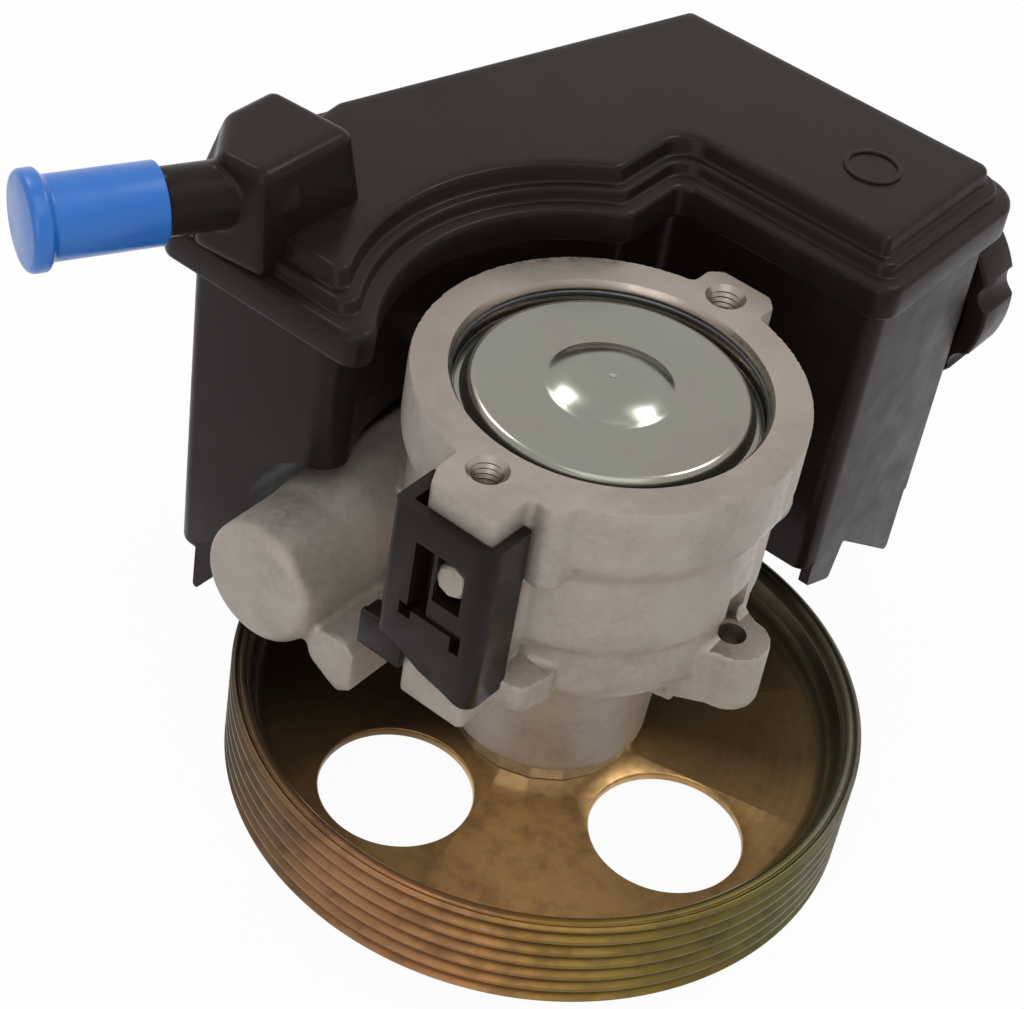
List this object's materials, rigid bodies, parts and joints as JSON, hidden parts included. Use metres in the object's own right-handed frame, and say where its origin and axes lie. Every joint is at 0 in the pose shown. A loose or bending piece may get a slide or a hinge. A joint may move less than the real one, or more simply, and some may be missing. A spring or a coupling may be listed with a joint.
{
  "type": "power_steering_pump",
  "caption": "Belt driven power steering pump with a grooved steel pulley, cast aluminium body and a dark moulded fluid reservoir wrapped round it",
  "frame": {"origin": "On the shaft's axis, at the shaft's pulley end, level with the pulley rim's outer face", "axes": "+Z runs along the shaft from the pulley to the rear cover, +Y points to the filler cap and -Y to the front ear, +X points to the side mounting boss"},
  "size_m": [0.1619, 0.1895, 0.1316],
  "materials": {
    "chromate": "satin",
    "cast": "matte",
    "zinc": "satin",
    "steel": "satin",
    "dark_steel": "satin",
    "plastic": "satin",
    "blue": "satin",
    "rubber": "matte",
    "bronze": "satin",
    "mesh": "matte"
  },
  "bodies": {
    "pump_body": {"bearing_snap_ring": "dark_steel", "bearing_outer_ring": "steel", "bearing_ball_1": "steel", "bearing_ball_2": "steel", "bearing_ball_3": "steel", "bearing_ball_4": "steel", "bearing_ball_5": "steel", "bearing_ball_6": "steel", "bearing_ball_7": "steel", "shaft_seal": "rubber", "plain_bush": "bronze", "pump_housing": "cast", "front_plate": "steel", "cam_ring": "steel", "rear_plate": "steel", "dowel_pin_1": "steel", "dowel_pin_2": "steel", "plate_spring": "dark_steel", "rear_cover": "zinc", "cover_seal": "rubber", "cover_ring": "zinc", "valve_plug": "steel", "valve_spring": "dark_steel", "reservoir_tank": "plastic", "reservoir_lid": "plastic", "suction_tube": "mesh", "suction_seal": "rubber", "strainer": "mesh", "bracket_clip": "plastic"},
    "rotating_group": {"pulley": "chromate", "pulley_hub": "steel", "pulley_bolt_1": "steel", "pulley_bolt_2": "steel", "pulley_bolt_3": "steel", "drive_shaft": "steel", "bearing_inner_ring": "steel", "rotor": "steel", "vane_1": "dark_steel", "vane_2": "dark_steel", "vane_3": "dark_steel", "vane_4": "dark_steel", "vane_5": "dark_steel", "vane_6": "dark_steel", "vane_7": "dark_steel", "vane_8": "dark_steel", "vane_9": "dark_steel", "vane_10": "dark_steel"},
    "filler_seal_body": {"filler_cap_seal": "rubber"},
    "filler_cap_body": {"filler_cap": "plastic"},
    "spigot_cap_body": {"spigot_cap": "blue"},
    "valve_spool_body": {"valve_spool": "steel"}
  },
  "joints": [
    {"name": "shaft_turn", "type": "hinge", "parent": "pump_body", "child": "rotating_group", "pos_m": [0, 0, 0.01], "axis": [0, 0, 1], "continuous": true},
    {"name": "filler_cap_off", "type": "slide", "parent": "pump_body", "child": "filler_seal_body", "axis": [0, 1, 0], "range_m": [0, 0.03]},
    {"name": "filler_cap_turn", "type": "hinge", "parent": "filler_seal_body", "child": "filler_cap_body", "pos_m": [0.003, 0.1155, 0.0772], "axis": [0, 1, 0], "continuous": true},
    {"name": "spigot_cap_off", "type": "slide", "parent": "pump_body", "child": "spigot_cap_body", "axis": [-0.4478, -0.8942, 0], "range_m": [0, 0.03]},
    {"name": "valve_spool_slide", "type": "slide", "parent": "pump_body", "child": "valve_spool_body", "axis": [0, -1, 0], "range_m": [0, 0.006], "stiffness_N_per_m": 800, "deforming": ["valve_spring"]}
  ]
}
